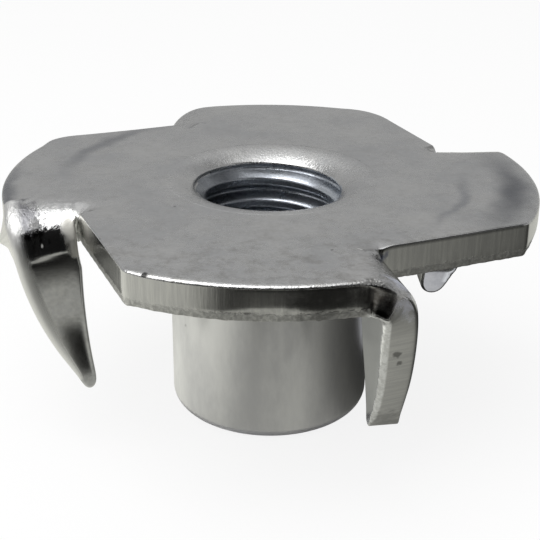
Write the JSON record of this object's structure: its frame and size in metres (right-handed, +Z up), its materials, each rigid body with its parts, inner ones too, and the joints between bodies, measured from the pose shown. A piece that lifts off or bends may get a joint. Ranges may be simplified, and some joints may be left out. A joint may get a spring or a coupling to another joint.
{
  "type": "four-prong tee nut",
  "caption": "Pressed steel tee nut: a lobed round flange on a threaded barrel, with sharp prongs bent down from its rim to grip wood.",
  "frame": {"origin": "centre of the barrel's end, on the thread's axis, at the level that the nut stands on", "axes": "+Z up the thread's axis, from the barrel's end to the flange's top face; each prong's bend line lies along X or Y, and the prong nearest -Y is bent towards +X"},
  "size_m": [0.017, 0.017, 0.0079],
  "materials": {
    "zinc_steel": "bright zinc plated mild steel, satin, with faint press marks"
  },
  "bodies": {
    "root": {"tee_nut": "zinc_steel"}
  },
  "joints": []
}
